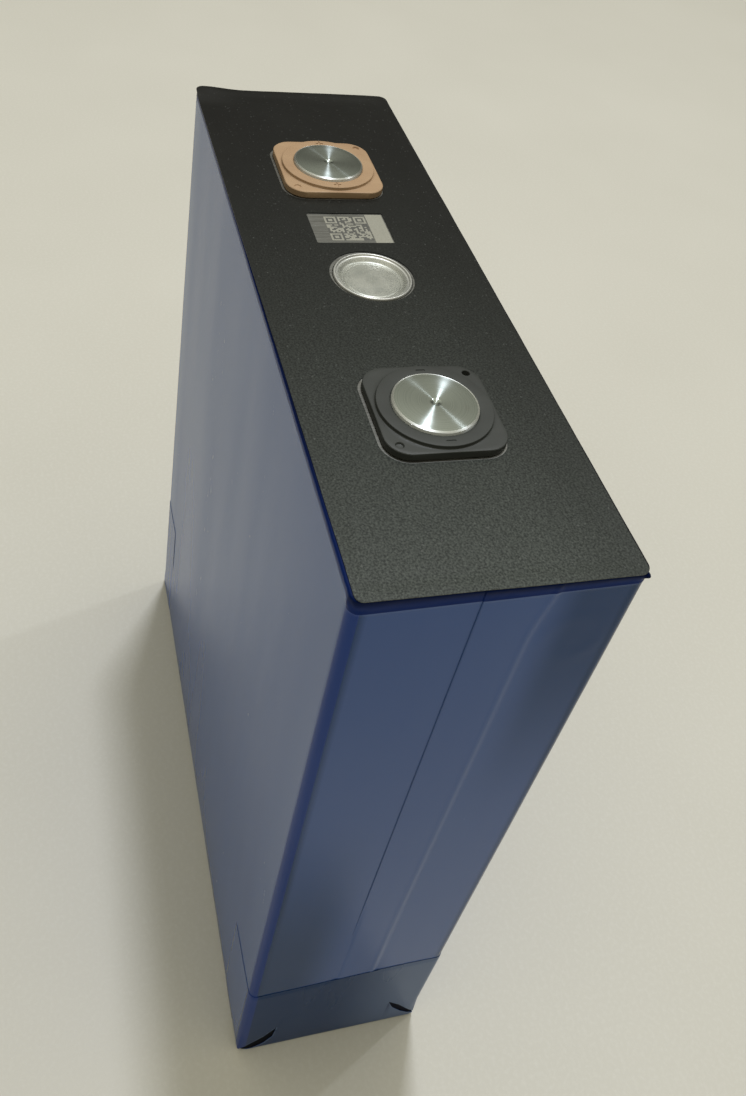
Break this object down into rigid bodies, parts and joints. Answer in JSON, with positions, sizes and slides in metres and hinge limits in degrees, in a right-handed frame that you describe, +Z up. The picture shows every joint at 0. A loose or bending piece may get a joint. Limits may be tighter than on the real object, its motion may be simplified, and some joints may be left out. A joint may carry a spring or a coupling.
{
  "type": "prismatic battery cell",
  "caption": "Prismatic lithium battery cell: flat-sided aluminium can in glossy blue film, with round weld terminals in plastic frames and a burst vent on its lid.",
  "frame": {"origin": "middle of the underside, where the cell stands", "axes": "+Z up from the underside to the terminals, +X along the length to the negative terminal, +Y across the thickness"},
  "size_m": [0.1738, 0.0536, 0.2078],
  "materials": {
    "can_aluminium": "satin rolled",
    "turned_aluminium": "face turned, fine rings",
    "vent_aluminium": "bright pressed",
    "foil_aluminium": "bright foil",
    "copper": "bright copper",
    "blue_film": "glossy adhesive film",
    "black_film": "fine matt texture",
    "black_plastic": "moulded, matt",
    "tan_plastic": "moulded, satin",
    "inner_plastic": "moulded, matt",
    "rubber": "moulded",
    "clear_film": "clear film",
    "bag_film": "translucent film",
    "tape": "adhesive tape",
    "separator": "porous film"
  },
  "bodies": {
    "root": {"can": "can_aluminium", "lid_plate": "can_aluminium", "side_wrap": "blue_film", "bottom_film": "blue_film", "negative_corner_patch": "blue_film", "positive_corner_patch": "blue_film", "top_film": "black_film", "negative_terminal_frame": "black_plastic", "positive_terminal_frame": "tan_plastic", "negative_terminal_block": "turned_aluminium", "positive_terminal_block": "turned_aluminium", "negative_terminal_rivet": "copper", "positive_terminal_rivet": "can_aluminium", "negative_seal_ring": "rubber", "positive_seal_ring": "rubber", "negative_lower_insulator": "inner_plastic", "positive_lower_insulator": "inner_plastic", "negative_collector": "copper", "positive_collector": "can_aluminium", "negative_tab_1": "copper", "negative_tab_2": "copper", "positive_tab_1": "foil_aluminium", "positive_tab_2": "foil_aluminium", "vent_disc": "vent_aluminium", "vent_cover_film": "clear_film", "vent_guard": "inner_plastic", "filler_plug": "rubber", "filler_cap": "can_aluminium", "support_plate": "inner_plastic", "insulating_bag": "bag_film", "binding_tape_1": "tape", "binding_tape_2": "tape", "electrode_roll_1": "separator", "electrode_roll_2": "separator"}
  },
  "joints": []
}
